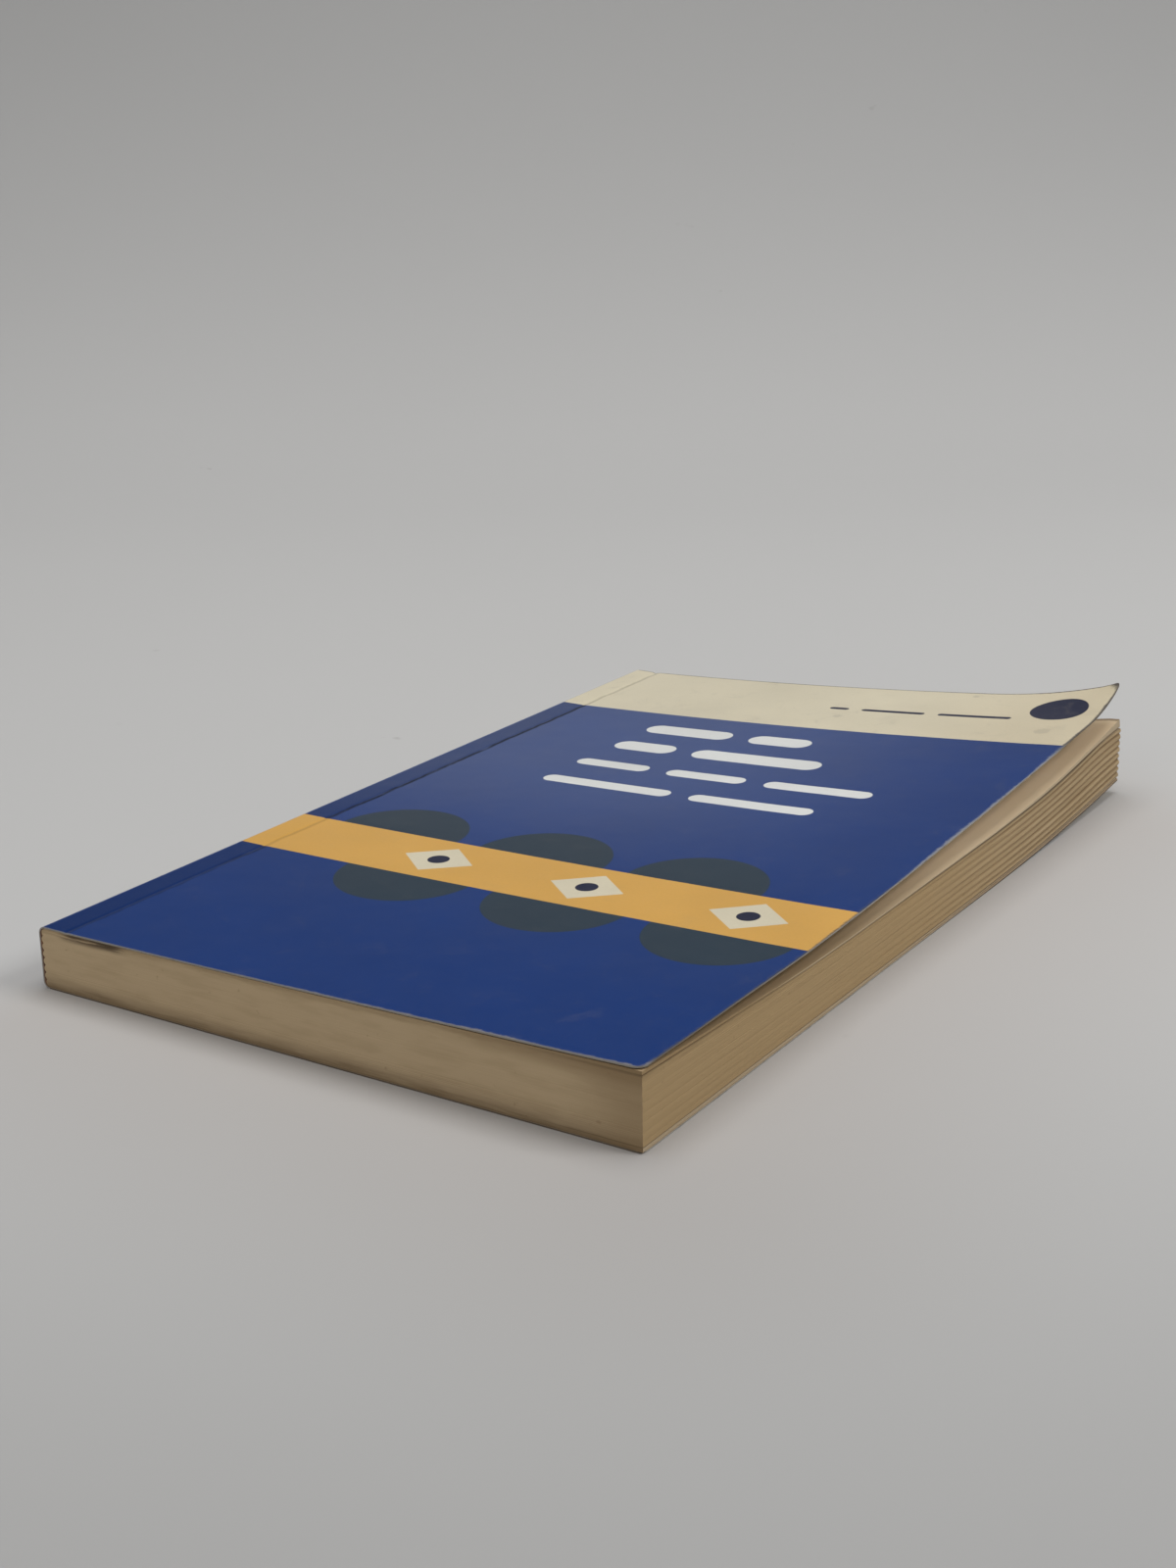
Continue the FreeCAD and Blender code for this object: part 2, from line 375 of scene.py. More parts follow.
# The printed design, all in millimetres on the flat cover.
coverPrint = {
    "blue": (0.003, 0.032, 0.165),
    "cream": (0.680, 0.612, 0.452),
    "agedCream": (0.655, 0.568, 0.400),  # towards the fore-edge
    "amber": (0.665, 0.370, 0.085),
    "slate": (0.020, 0.038, 0.058),
    # A greyer blue, painted sheen towards the head and the spine.
    "sheenBlue": (0.172, 0.220, 0.372),
    "navy": (0.010, 0.013, 0.042),
    "white": (0.740, 0.745, 0.720),
    "headBand": 36.0,  # cream band, down from the head
    "stripe": (57.0, 77.5),  # amber stripe, up from the tail
    "inkEdge": 0.12,
    "domeRadius": 15.0,
    "domesAbove": (27.0, 63.0, 99.0),  # slate domes that stand on the stripe
    "domesBelow": (45.0, 81.0, 117.0),  # and that hang from it
    "lozenges": (45.0, 81.0, 117.0),
    "lozengeReach": (8.5, 7.0),
    "dotRadius": 2.3,
    # White rules on the blue: left, right, middle and half height.
    "rules": (
        (34.0, 57.0, 167.5, 3.2), (62.0, 78.0, 167.5, 3.2),
        (34.0, 50.0, 153.0, 3.2), (55.0, 88.0, 153.0, 3.2),
        (33.0, 52.0, 138.0, 2.2), (57.0, 77.0, 138.0, 2.2), (82.0, 108.0, 138.0, 2.2),
        (33.0, 66.0, 124.0, 2.2), (71.0, 101.0, 124.0, 2.2),
    ),
    "smallRules": (
        (68.0, 73.0, 197.3, 0.8), (76.5, 93.0, 197.3, 0.8), (96.5, 115.0, 197.3, 0.8),
    ),
    "roundel": (124.2, 204.2, 6.8),
}


def inkMask(tree, inside):
    inked = maths(tree, "DIVIDE", inside, coverPrint["inkEdge"])
    return maths(tree, "ADD", inked, 0.5, clamp=True)


def bandMask(tree, v, low, high):
    return inkMask(tree, smaller(tree, minus(tree, v, low), minus(tree, high, v)))


def discMask(tree, u, v, cu, cv, radius):
    away = distance(tree, minus(tree, u, cu), minus(tree, v, cv))
    return inkMask(tree, minus(tree, radius, away))


# A bar with round ends: a disc whose centre slides along the bar, nearest to each point.
def ruleMask(tree, u, v, rule):
    left, right, middle, half = rule
    nearest = smaller(tree, larger(tree, u, left + half), right - half)
    return discMask(tree, u, v, nearest, middle, half)


def lozengeMask(tree, u, v, cu, cv, reach):
    du = maths(tree, "DIVIDE", absolute(tree, minus(tree, u, cu)), reach[0])
    dv = maths(tree, "DIVIDE", absolute(tree, minus(tree, v, cv)), reach[1])
    inside = minus(tree, 1.0, plus(tree, du, dv))
    return inkMask(tree, times(tree, inside, reach[1]))


def anyOf(tree, masks):
    total = masks[0]
    for mask in masks[1:]:
        total = larger(tree, total, mask)
    return total


def discRow(tree, u, v, centres, cv, radius):
    return anyOf(tree, [discMask(tree, u, v, cu, cv, radius) for cu in centres])


coverFinish = {
    "roughness": 0.36,
    "rubbedRoughness": 0.62,
    "shine": 0.3,
    "shineAlong": (10.0, 120.0, 0.48, 1.0),  # from and to millimetres, and the share there
    "sheenAlong": (55.0, 140.0, 0.0, 0.26),  # painted sheen: the blue turns greyer towards the head
    "sheenAcross": (135.0, 50.0),  # and towards the spine
    "ageAcross": (80.0, 132.0),  # the cream yellows towards the fore-edge
    "fibre": (0.30, 0.31, 0.33),  # bare card where the print has rubbed off
    "tailFibre": (0.260, 0.240, 0.215),  # and where handling has darkened it
    "darkFibre": (0.075, 0.080, 0.095),
    "darkFrom": (1.5, 5.0),  # how far from the tail it turns dark
    "bareAlong": (84.0, 108.0, 184.0, 170.0),  # where it is bare instead
    "bareAcross": (14.0, 10.0),
    "edgeWear": 2.6,
    "cornerWear": 3.2,
    "wearAcross": (20.0, 118.0, 0.15, 1.0),
    "stripShade": 0.72,
    "creaseWander": 0.8,
    "creaseWidth": (0.20, 0.85, 0.85, 0.0),
    "creaseAlong": (20.0, 110.0, 0.45, 1.0),
    "creaseOnPale": 0.30,  # how much of it shows on the pale inks
    "scratch": (0.50, 0.52, 0.56),
    "grime": (0.26, 0.235, 0.19),
    "tipStain": (0.06, 0.05, 0.045),
    "foldPlaces": (0.3, -11.75),  # middles of the spine's two folds on the flat card
    "foldWear": (0.2, 1.3, 0.35, 0.0),
    "broad": (0.035, 4.0, 0.55),  # textures: size, detail, roughness and bend
    "broadTone": (0.26, 0.87),
    "mottle": (1.6, 3.0, 0.6),
    "mottleTone": (0.10, 0.95),
    "frayed": (0.7, 5.0, 0.7),
    "slowWear": (0.055, 2.0, 0.5),
    "smudge": ((0.11, 6.0, 0.7, 0.6), 0.54, 0.80, 0.0, 0.30),
    "specks": ((0.9, 2.0, 0.5), 0.735, 0.80, 0.0, 0.5),
    "scuffs": ((126.0, 189.0, 1.9), (99.5, 213.0, 0.9), (73.0, 191.0, 1.1)),
}


# The printed inks, with a painted sheen that greys the blue and, on the front, painted shade on the
# strip beside the spine. On the front also the domes, the lozenges and the white and navy marks.
def inksWithPaintedLight(tree, u, v, isFront):
    art, finish = coverPrint, coverFinish
    low, high = art["stripe"]
    middle = (low + high) / 2
    # Painted sheen: the blue is greyed towards the head and towards the spine.
    sheen = ramp(tree, v, *finish["sheenAlong"])
    sheen = fade(tree, sheen, u, *finish["sheenAcross"])
    colour = blend(tree, sheen, art["blue"], art["sheenBlue"])
    stripe = bandMask(tree, v, low, high)
    strip = None
    if isFront:
        above = maths(tree, "GREATER_THAN", v, middle)
        upper = discRow(tree, u, v, art["domesAbove"], high, art["domeRadius"])
        lower = discRow(tree, u, v, art["domesBelow"], low, art["domeRadius"])
        slate = larger(tree, times(tree, upper, above), times(tree, lower, minus(tree, 1.0, above)))
        slate = times(tree, slate, minus(tree, 1.0, stripe))
        colour = blend(tree, slate, colour, art["slate"])
        # Painted shade: the strip beside the spine is darkened.
        strip = ramp(tree, u, book["score"] - 0.5, book["score"] + 0.7, finish["stripShade"], 1.0)
        colour = dim(tree, colour, strip)
    colour = blend(tree, stripe, colour, art["amber"])
    if isFront:
        cream = [lozengeMask(tree, u, v, c, middle, art["lozengeReach"]) for c in art["lozenges"]]
        colour = blend(tree, anyOf(tree, cream), colour, art["cream"])
        dots = discRow(tree, u, v, art["lozenges"], middle, art["dotRadius"])
        colour = blend(tree, dots, colour, art["navy"])
        rules = [ruleMask(tree, u, v, rule) for rule in art["rules"]]
        colour = blend(tree, anyOf(tree, rules), colour, art["white"])
    band = bandMask(tree, v, height - art["headBand"], height * 2)
    aged = blend(tree, ramp(tree, u, *finish["ageAcross"]), art["cream"], art["agedCream"])
    colour = blend(tree, band, colour, aged)
    if isFront:
        small = [ruleMask(tree, u, v, rule) for rule in art["smallRules"]]
        small.append(discMask(tree, u, v, *art["roundel"]))
        colour = blend(tree, anyOf(tree, small), colour, art["navy"])
    return colour, band, stripe, strip


# Grey rubbing, smudges and specks, strongest on the pale band, and a few scuffs on the front.
def addGrime(tree, colour, place, u, v, band, isFront):
    finish, grime = coverFinish, coverFinish["grime"]
    smudge = patches(tree, place, *finish["smudge"])
    smudge = times(tree, smudge, scale(tree, band, 0.75, 0.25))
    colour = blend(tree, smudge, colour, grime)
    specks = patches(tree, place, *finish["specks"])
    colour = blend(tree, times(tree, specks, band), colour, grime)
    for cu, cv, radius in finish["scuffs"] if isFront else ():
        ragged = times(tree, noise(tree, place, 1.8, 4.0, 0.8, 1.0), radius * 2)
        away = distance(tree, minus(tree, u, cu), minus(tree, v, cv))
        scuff = ramp(tree, minus(tree, away, ragged), 0.3, -0.4, 0.0, 0.26)
        colour = blend(tree, scuff, colour, grime)
    return colour


# Painted shade along a crease that wanders along the score.
def creaseShadeMask(tree, place, u, v):
    finish = coverFinish
    wander = noise(tree, combine(tree, 0.0, v, 9.0), 0.12, 3.0, 0.6)
    wandered = scale(tree, wander, 2 * finish["creaseWander"], -finish["creaseWander"])
    fromCrease = minus(tree, minus(tree, u, book["score"] + 0.5), wandered)
    crease = ramp(tree, absolute(tree, fromCrease), *finish["creaseWidth"])
    crease = fade(tree, crease, v, *finish["creaseAlong"])
    return fade(tree, crease, noise(tree, place, 0.09, 3.0, 0.6), 0.30, 0.50, 0.45, 1.0)


# Where the print is worn: the free edges and corners, the score on the back and the spine's folds.
def wornMask(tree, place, u, edges, fraying, isFront):
    finish = coverFinish
    nearEnd, nearEdge, fromEdge = edges
    frayed, slowWear = fraying
    reach = times(tree, times(tree, frayed, frayed), finish["edgeWear"])
    reach = times(tree, reach, scale(tree, slowWear, 1.6, -0.25))
    reach = fade(tree, reach, u, *finish["wearAcross"])
    worn = ramp(tree, minus(tree, nearEdge, reach), -0.30, 0.32, 0.75, 0.0)
    cornerReach = times(tree, frayed, finish["cornerWear"])
    cornerSum = plus(tree, nearEnd, fromEdge)
    worn = larger(tree, worn, ramp(tree, minus(tree, cornerSum, cornerReach), -0.9, 1.1, 0.75, 0.0))
    if not isFront:
        fromScore = absolute(tree, minus(tree, u, book["score"]))
        scoreRub = ramp(tree, fromScore, 0.10, 0.60, 0.10, 0.0)
        scoreRub = fade(tree, scoreRub, noise(tree, place, 0.35, 4.0, 0.7), 0.42, 0.62)
        worn = larger(tree, worn, scoreRub)
    overFold, underFold = (absolute(tree, minus(tree, u, middle)) for middle in finish["foldPlaces"])
    foldRub = ramp(tree, smaller(tree, overFold, underFold), *finish["foldWear"])
    foldRub = fade(tree, foldRub, noise(tree, place, 0.5, 5.0, 0.7), 0.40, 0.66)
    return larger(tree, worn, foldRub)


# The colour of the worn card: grey at the tail, dark along the middle, bare elsewhere.
def wornColour(tree, u, v):
    finish = coverFinish
    fromTail = ramp(tree, v, *finish["darkFrom"])
    greyed = blend(tree, fromTail, finish["tailFibre"], finish["darkFibre"])
    bare = plateau(tree, v, *finish["bareAlong"])
    bare = larger(tree, bare, ramp(tree, u, *finish["bareAcross"]))
    return blend(tree, bare, greyed, finish["fibre"])


# Hairline scratches, long one way and thin the other.
def scratchMask(tree, u, v):
    alongPlace = combine(tree, times(tree, u, 3.2), times(tree, v, 0.10))
    along = patches(tree, alongPlace, (1.0, 2.0, 0.5), 0.70, 0.76)
    crossPlace = combine(tree, times(tree, u, 0.12), times(tree, v, 2.6), 4.0)
    crosswise = patches(tree, crossPlace, (1.0, 2.0, 0.5), 0.71, 0.77)
    return larger(tree, along, crosswise)


def makeCoverMaterial(name, isFront):
    material, tree, shader = startMaterial(name)
    place, u, v = flatPlace(tree)
    finish = coverFinish
    colour, band, stripe, strip = inksWithPaintedLight(tree, u, v, isFront)

    # Uneven ink and a slight yellowing in broad patches.
    broad = noise(tree, place, *finish["broad"])
    mottled = scale(tree, noise(tree, place, *finish["mottle"]), *finish["mottleTone"])
    tone = times(tree, scale(tree, broad, *finish["broadTone"]), mottled)
    colour = addGrime(tree, dim(tree, colour, tone), place, u, v, band, isFront)
    if isFront:
        # Painted shade: the crease darkens the print, less on the pale inks.
        crease = creaseShadeMask(tree, place, u, v)
        onPale = scale(tree, larger(tree, band, stripe), finish["creaseOnPale"] - 1.0, 1.0)
        colour = dim(tree, colour, minus(tree, 1.0, times(tree, crease, onPale)))

    # Distance to the nearest free edge.
    fromHead = minus(tree, height, v)
    fromEdge = minus(tree, width, u)
    nearEnd = smaller(tree, v, fromHead)
    nearEdge = smaller(tree, nearEnd, fromEdge)
    frayed = noise(tree, place, *finish["frayed"])
    slowWear = noise(tree, place, *finish["slowWear"])
    worn = wornMask(tree, place, u, (nearEnd, nearEdge, fromEdge), (frayed, slowWear), isFront)
    colour = blend(tree, worn, colour, wornColour(tree, u, v))
    if isFront:
        fromTip = minus(tree, plus(tree, fromHead, fromEdge), times(tree, frayed, 4.0))
        dirtyTip = ramp(tree, fromTip, -0.5, 1.9, 0.8, 0.0)
        rim = ramp(tree, minus(tree, nearEdge, times(tree, slowWear, 0.5)), -0.1, 0.35, 0.7, 0.0)
        dirtyTip = larger(tree, dirtyTip, times(tree, rim, band))
        colour = blend(tree, dirtyTip, colour, finish["tipStain"])
    scratches = scratchMask(tree, u, v)
    colour = blend(tree, times(tree, scratches, 0.07), colour, finish["scratch"])
    feed(tree, shader.inputs["Base Color"], colour)

    gloss = scale(tree, broad, 0.16, finish["roughness"] - 0.08)
    gloss = scale(tree, scratches, 0.10, gloss)
    rubbed = times(tree, worn, finish["rubbedRoughness"] - finish["roughness"])
    feed(tree, shader.inputs["Roughness"], maths(tree, "ADD", gloss, rubbed, clamp=True))
    if isFront:
        shine = times(tree, strip, scale(tree, crease, -1.0, 1.0))
        shine = fade(tree, shine, v, *finish["shineAlong"])
        feed(tree, shader.inputs["Specular IOR Level"], times(tree, shine, finish["shine"]))
    else:
        shader.inputs["Specular IOR Level"].default_value = finish["shine"]

    # Card grain, soft dents, the scratches and the frayed edge, all as relief.
    relief = bump(tree, noise(tree, place, 0.06, 2.0, 0.4), 0.35, 0.0006)
    relief = bump(tree, noise(tree, place, 5.0, 3.0, 0.6), 0.22, 0.00006, relief)
    relief = bump(tree, times(tree, scratches, -1.0), 0.15, 0.00005, relief)
    relief = bump(tree, times(tree, worn, -1.0), 0.4, 0.0001, relief)
    feed(tree, shader.inputs["Normal"], relief)
    return material


insideCard = {
    "paper": (0.60, 0.50, 0.36),
    "edge": (0.40, 0.28, 0.16),
    "toning": (-6.0, 9.0, 0.65, 0.0),  # millimetres in from the edge, and how strong there
    "ragged": (0.08, 4.0, 0.6),
    "raggedReach": (16.0, -4.0),
    "foxing": ((0.55, 2.0, 0.5), 0.72, 0.80, 0.0, 0.5),
    "fibres": (7.0, 4.0, 0.7),
    "shade": (0.12, 0.94),
    "roughness": (0.12, 0.78),
    "relief": (0.25, 0.00005),
}


# Unprinted side of the cover card.
def makeInsideMaterial(name):
    material, tree, shader = startMaterial(name)
    place, u, v = flatPlace(tree)
    dressFibres(tree, shader, place, yellowed(tree, place, u, v, insideCard), insideCard)
    return material


cutCard = {
    "fibre": (0.40, 0.38, 0.34),
    "dirtAndShade": (0.13, 0.095, 0.060),
    "frontTail": (95.0, 10.0, 0.0, 0.75),  # the front cover's edge: dirty towards the tail
    "frontTailEnd": (0.3, 4.0, 0.4, 1.0),  # less on the tail's own edge
    "frontHead": (172.0, 186.0, 0.0, 0.8),
    # The back cover's edge: darkened as painted shade with dirt, at the tail and towards the head.
    "backTailShade": (1.0, 0.2, 0.0, 0.9),
    "backHeadShade": (85.0, 145.0, 0.0, 0.95),
    "roughness": 0.85,
}


# The cut edge of the card, grey-white fibre with dirt rubbed into it; on the back cover it is darkened
# also as painted shade, at the tail and towards the head.
def makeCutMaterial(name, isFront):
    material, tree, shader = startMaterial(name)
    place, _, v = flatPlace(tree)
    dirtAndShadeMask = patches(tree, place, (0.25, 5.0, 0.7), 0.42, 0.70, 0.0, 0.5)
    if isFront:
        tailDirtAndShade = ramp(tree, v, *cutCard["frontTail"])
        tailDirtAndShade = fade(tree, tailDirtAndShade, v, *cutCard["frontTailEnd"])
        headDirtAndShade = ramp(tree, v, *cutCard["frontHead"])
    else:
        tailDirtAndShade = ramp(tree, v, *cutCard["backTailShade"])
        headDirtAndShade = ramp(tree, v, *cutCard["backHeadShade"])
    dirtAndShadeMask = larger(tree, dirtAndShadeMask, larger(tree, tailDirtAndShade, headDirtAndShade))
    fibres = noise(tree, place, 6.0, 3.0, 0.7)
    colour = blend(tree, dirtAndShadeMask, cutCard["fibre"], cutCard["dirtAndShade"])
    dress(tree, shader, colour, fibres, (0.1, cutCard["roughness"]), (0.5, 0.00008))
    return material


# Leaf edges: colours, then places. cleanTop, cleanFoot, smearLeaves, footShade, outerLeaves,
# partedShadeWidth and underTop count leaves, the others are millimetres along the edge.
pageEdge = {
    "paper": (0.425, 0.290, 0.142),
    "pale": (0.500, 0.358, 0.190),
    "headPaper": (0.450, 0.325, 0.178),
    "headPale": (0.560, 0.425, 0.258),
    "towardsHead": (90.0, 180.0),
    # Painted light and shade: the tail's paper is a paler copy of the fore-edge's, the fore-edge's
    # darker where the lamp from the right falls on it.
    "tailPaper": (0.500, 0.368, 0.212),
    "tailPale": (0.600, 0.462, 0.290),
    "clean": (0.600, 0.490, 0.345),
    "dark": (0.270, 0.180, 0.090),
    "paintedShade": (0.180, 0.120, 0.065),
    "grime": (0.085, 0.058, 0.035),
    # Painted shade in the gaps where leaves stand apart.
    "parted": (0.045, 0.030, 0.018),
    "streaksAlong": (75.0, 185.0, 0.03, 1.0),  # leaf streaks grow towards the head
    "tailStreaks": 0.04,
    "bandsAlong": (90.0, 155.0, 0.05, 1.0),  # and so do the broad bands
    "tailBands": 0.7,
    "furrowShadeWidth": (0.35, 1.0),  # a share of half a section
    "furrowShadeAlong": (95.0, 190.0, 0.0, 0.85),
    "tailFurrowShade": (105.0, 135.0, 0.0, 0.06),
    "nearCorner": (62.0, 34.0),  # the soiled stretch of the fore-edge ends here
    "cleanTop": (124.0, 126.0),
    "cleanFoot": (8.0, 6.5),
    "smearAlong": (3.0, 8.0, 24.0, 18.0),
    "smearLeaves": (108.0, 122.0),
    "footShade": (40.0, -6.0),
    "outerAlong": (84.0, 126.0),
    "outerLeaves": (92.0, 118.0),
    "cornerAlong": (118.0, 135.0, 0.0, 0.55),
    "partedShadeWidth": (0.45, 1.1, 0.85, 0.0),
    "underTop": (121.6, 124.0, 126.2, 125.6),  # the shadow under the loose leaves
    "partedAlong": (20.0, 150.0, 0.45, 1.0),
    "partedAtHead": (192.0, 214.0, 1.0, 0.4),
    "partedAtTail": (100.0, 135.0, 0.0, 0.4),
    "roughness": 0.83,
}


# The paper's tone, with a paler copy on the tail as painted light: a faint streak for each leaf, broad
# bands and, away from the tail, painted shade in the furrow between folded sections.
def leafTone(tree, along, leaf, isTail):
    edge = pageEdge
    streaks = noise(tree, combine(tree, times(tree, along, 0.035), leaf), 0.8, 4.0, 0.75)
    streakWeight = edge["tailStreaks"] if isTail else ramp(tree, along, *edge["streaksAlong"])
    centred = minus(tree, ramp(tree, streaks, 0.34, 0.66), 0.5)
    paler = scale(tree, centred, streakWeight, 0.5)
    if isTail:
        colour = blend(tree, paler, edge["tailPaper"], edge["tailPale"])
    else:
        towardsHead = ramp(tree, along, *edge["towardsHead"])
        plainTone = blend(tree, towardsHead, edge["paper"], edge["headPaper"])
        paleTone = blend(tree, towardsHead, edge["pale"], edge["headPale"])
        colour = blend(tree, paler, plainTone, paleTone)
    darker = times(tree, ramp(tree, streaks, 0.36, 0.20, 0.0, 0.5), streakWeight)
    colour = blend(tree, darker, colour, edge["dark"])

    stretch, squeeze = (0.09, 0.045) if isTail else (0.03, 0.09)
    bandPlace = combine(tree, times(tree, along, stretch), times(tree, leaf, squeeze))
    bands = patches(tree, bandPlace, (1.0, 3.0, 0.5), 0.42, 0.70, 0.0, 0.25)
    bandWeight = edge["tailBands"] if isTail else ramp(tree, along, *edge["bandsAlong"])
    colour = blend(tree, times(tree, bands, bandWeight), colour, edge["dark"])

    # Painted shade in the furrows between folded sections.
    inSection = maths(tree, "FRACT", maths(tree, "DIVIDE", leaf, float(book["leavesInSection"])))
    fromCrest = absolute(tree, scale(tree, inSection, 2.0, -1.0))
    furrowShade = ramp(tree, fromCrest, *edge["furrowShadeWidth"])
    opened = ramp(tree, along, *edge["tailFurrowShade" if isTail else "furrowShadeAlong"])
    colour = blend(tree, times(tree, furrowShade, opened), colour, edge["dark"])
    return colour, streaks, streakWeight


# Handling dirt, thickest beside the covers, and on the tail a smear near the spine, a painted contact
# shadow along the foot, and a dark outer corner with painted shade under the lifted cover.
def addDirtAndShade(tree, colour, along, leaf, isTail):
    edge = pageEdge
    fromCover = minus(tree, float(leafCount), leaf)
    if isTail:
        fromCover = smaller(tree, leaf, fromCover)
    cloudPlace = combine(tree, times(tree, along, 0.10), times(tree, leaf, 0.12), 7.0)
    cloud = noise(tree, cloudPlace, 1.0, 4.0, 0.6)
    reach = scale(tree, cloud, 26.0, -8.0)
    browned = ramp(tree, minus(tree, fromCover, reach), -4.0, 10.0, 0.45, 0.0)
    if not isTail:
        # Away from the near corner the leaves beside both covers are clean and pale instead.
        end, start = edge["nearCorner"]
        browned = fade(tree, browned, along, end, start)
        clean = times(tree, ramp(tree, leaf, *edge["cleanTop"]), ramp(tree, along, start, end))
        clean = larger(tree, clean, ramp(tree, leaf, *edge["cleanFoot"]))
        colour = blend(tree, times(tree, clean, 0.65), colour, edge["clean"])
    colour = blend(tree, browned, colour, edge["dark"])
    spotPlace = combine(tree, times(tree, along, 0.55), times(tree, leaf, 0.055), 3.0)
    spots = patches(tree, spotPlace, (1.0, 2.0, 0.5), 0.68, 0.78, 0.0, 0.40)
    colour = blend(tree, spots, colour, edge["dark"])
    if isTail:
        smear = plateau(tree, along, *edge["smearAlong"])
        smear = fade(tree, smear, leaf, *edge["smearLeaves"])
        smear = fade(tree, smear, cloud, 0.30, 0.52)
        colour = blend(tree, times(tree, smear, 0.95), colour, edge["grime"])
        # Painted shade: a contact shadow along the tail's foot.
        footShade = times(tree, ramp(tree, leaf, *edge["footShade"]), scale(tree, cloud, 0.8, 0.25))
        colour = blend(tree, footShade, colour, edge["paintedShade"])
        # Painted shade under the lifted cover, on the upper leaves towards the outer corner.
        outer = ramp(tree, along, *edge["outerAlong"])
        outer = fade(tree, outer, leaf, *edge["outerLeaves"])
        colour = blend(tree, times(tree, outer, 0.6), colour, edge["dark"])
        colour = blend(tree, ramp(tree, along, *edge["cornerAlong"]), colour, edge["dark"])
    return colour


# Painted shade: dark lines in the gaps where a few leaves beside each cover stand apart.
def addPartedShade(tree, colour, along, leaf, isTail):
    edge = pageEdge
    for parted in (blockShape["partedTop"], blockShape["partedFoot"]):
        off = absolute(tree, minus(tree, leaf, parted + 0.5))
        line = ramp(tree, off, *edge["partedShadeWidth"])
        if parted == blockShape["partedTop"]:
            shadow = plateau(tree, leaf, *edge["underTop"])
            line = larger(tree, line, times(tree, shadow, 0.6))
        if isTail:
            line = fade(tree, line, along, *edge["partedAtTail"])
        else:
            line = fade(tree, line, along, *edge["partedAlong"])
            line = fade(tree, line, along, *edge["partedAtHead"])
        colour = blend(tree, line, colour, edge["parted"])
    return colour


# The trimmed edges of the leaves. The map's first number runs along the edge in millimetres, the
# second counts leaves.
def makeLeafEdgeMaterial(name, isTail=False):
    material, tree, shader = startMaterial(name)
    _, along, leaf = flatPlace(tree)
    colour, streaks, streakWeight = leafTone(tree, along, leaf, isTail)
    colour = addDirtAndShade(tree, colour, along, leaf, isTail)
    colour = addPartedShade(tree, colour, along, leaf, isTail)
    feed(tree, shader.inputs["Base Color"], colour)
    feed(tree, shader.inputs["Roughness"], scale(tree, streaks, 0.1, pageEdge["roughness"]))
    shader.inputs["Specular IOR Level"].default_value = 0.3
    feed(tree, shader.inputs["Normal"], bump(tree, times(tree, streaks, streakWeight), 0.45, 0.00014))
    return material


pageFace = {
    "paper": (0.820, 0.670, 0.480),
    "edge": (0.760, 0.580, 0.350),
    "paintedShade": (0.330, 0.228, 0.118),
    "rim": (0.170, 0.115, 0.070),
    "toning": (-5.0, 10.0, 0.60, 0.0),
    "ragged": (0.07, 4.0, 0.6),
    "raggedReach": (10.0, -3.0),
    "foxing": ((0.45, 2.0, 0.5), 0.71, 0.80, 0.0, 0.45),
    "paintedShadeAlong": (135.0, 55.0, 0.0, 0.9),
    "paintedShadeAcross": (121.0, 130.0),
    "paintedShadeTail": (4.0, 1.0, 0.0, 0.85),
    "headRim": (0.5, 1.8, 0.8, 0.0),
    "fibres": (6.0, 4.0, 0.7),
    "shade": (0.08, 0.96),
    "roughness": (0.1, 0.82),
    "relief": (0.2, 0.00004),
}


# A leaf's face, plain, toned darker along its trimmed edges, with painted shade where the front cover
# hangs over it.
def makeLeafFaceMaterial(name):
    material, tree, shader = startMaterial(name)
    place, u, v = flatPlace(tree)
    face = pageFace
    colour = yellowed(tree, place, u, v, face)
    # Painted shade under the front cover, beside the fore-edge and along the tail.
    paintedShade = ramp(tree, v, *face["paintedShadeAlong"])
    paintedShade = fade(tree, paintedShade, u, *face["paintedShadeAcross"])
    paintedShade = larger(tree, paintedShade, ramp(tree, v, *face["paintedShadeTail"]))
    colour = blend(tree, paintedShade, colour, face["paintedShade"])
    colour = blend(tree, ramp(tree, minus(tree, height, v), *face["headRim"]), colour, face["rim"])
    dressFibres(tree, shader, place, colour, face)
    return material


dryGlue = {"brown": (0.085, 0.032, 0.014), "amber": (0.200, 0.090, 0.035), "roughness": 0.45}


def makeGlueMaterial(name):
    material, tree, shader = startMaterial(name)
    coordinates = tree.nodes.new("ShaderNodeTexCoord")
    clots = noise(tree, coordinates.outputs["Object"], 900.0, 4.0, 0.6)
    colour = blend(tree, ramp(tree, clots, 0.35, 0.65), dryGlue["brown"], dryGlue["amber"])
    dress(tree, shader, colour, clots, (0.3, dryGlue["roughness"]), (0.5, 0.0001))
    return material


frontPrintMaterial = makeCoverMaterial("frontPrint", True)
backPrintMaterial = makeCoverMaterial("plainPrint", False)
insideMaterial = makeInsideMaterial("insideOfCard")
cutMaterial = makeCutMaterial("cutCardEdge", True)
backCutMaterial = makeCutMaterial("backCutEdgeShaded", False)
foreEdgeMaterial = makeLeafEdgeMaterial("leafEdges")
tailEdgeMaterial = makeLeafEdgeMaterial("tailLeafEdges", True)
leafFaceMaterial = makeLeafFaceMaterial("leafFace")
glueMaterial = makeGlueMaterial("dryGlue")
print("materials made")

